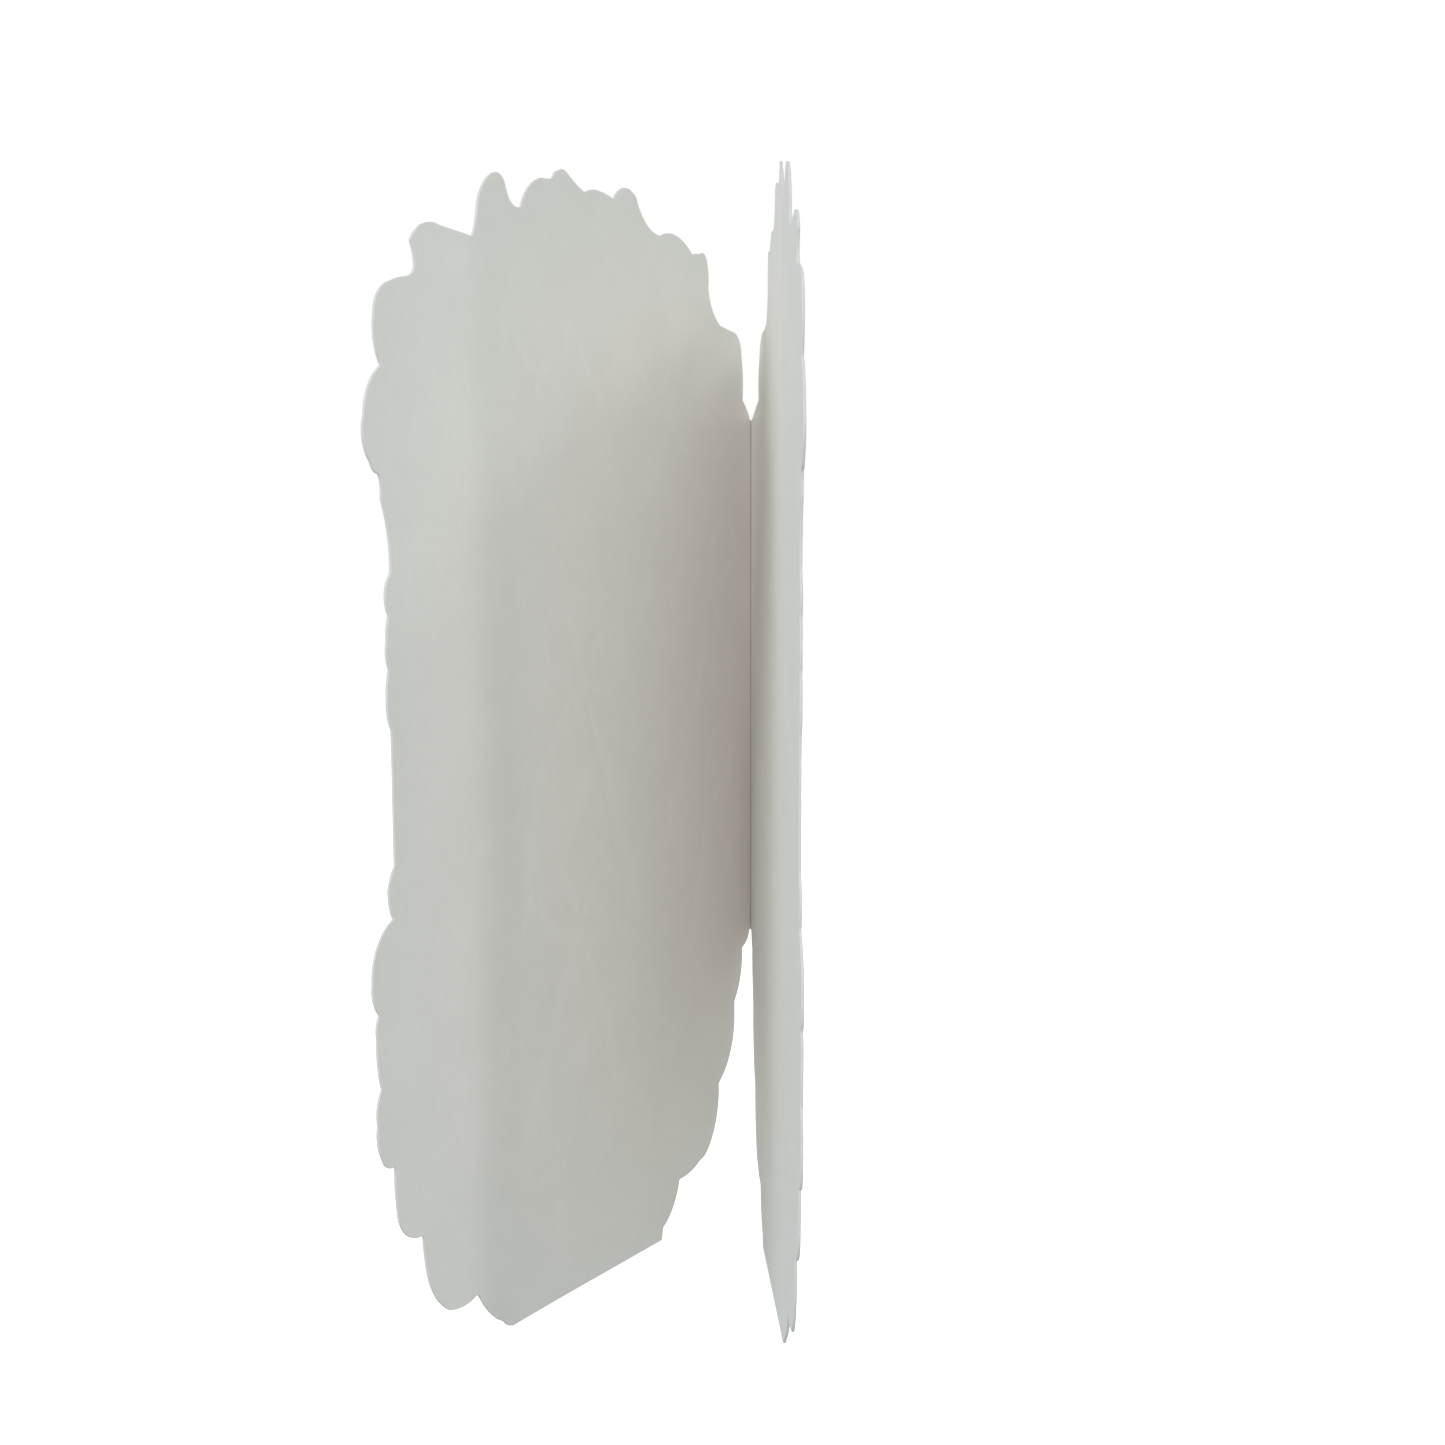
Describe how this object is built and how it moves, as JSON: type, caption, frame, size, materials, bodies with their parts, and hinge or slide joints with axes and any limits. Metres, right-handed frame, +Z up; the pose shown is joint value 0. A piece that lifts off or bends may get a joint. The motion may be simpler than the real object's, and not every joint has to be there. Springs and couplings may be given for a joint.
{
  "type": "folded greeting card",
  "caption": "Folded die-cut greeting card with a scalloped outline, a scored flap on its front cover and a raised ribbon-bow pattern; stands open on its straight foot edges.",
  "frame": {"origin": "on the table under the middle of the standing card's box", "axes": "+Z up along the fold, +Y towards the fold, -Y towards the open side, front cover on -X and back cover on +X"},
  "size_m": [0.0614, 0.1228, 0.179],
  "materials": {
    "board": "matt uncoated board, faint fibre",
    "crease": "matt board compressed at the fold",
    "relief": "blind embossed, faint satin"
  },
  "bodies": {
    "back_cover": {"back_panel": "board", "spine_fold": "crease"},
    "front_cover": {"front_panel": "board", "front_score": "crease", "ribbon_bows": "relief", "ribbon_tails": "relief", "flower_relief": "relief", "garland_relief": "relief"},
    "front_flap": {"front_flap": "board"}
  },
  "joints": [
    {"name": "spine", "type": "hinge", "parent": "back_cover", "child": "front_cover", "pos_m": [0.00108, 0.06099, 0.09], "axis": [0, 0, -1], "range_deg": [-26.8, 153.2]},
    {"name": "front_flap_bend", "type": "hinge", "parent": "front_cover", "child": "front_flap", "pos_m": [-0.02238, -0.03622, 0.09], "axis": [0, 0, -1], "range_deg": [-5, 85]}
  ]
}
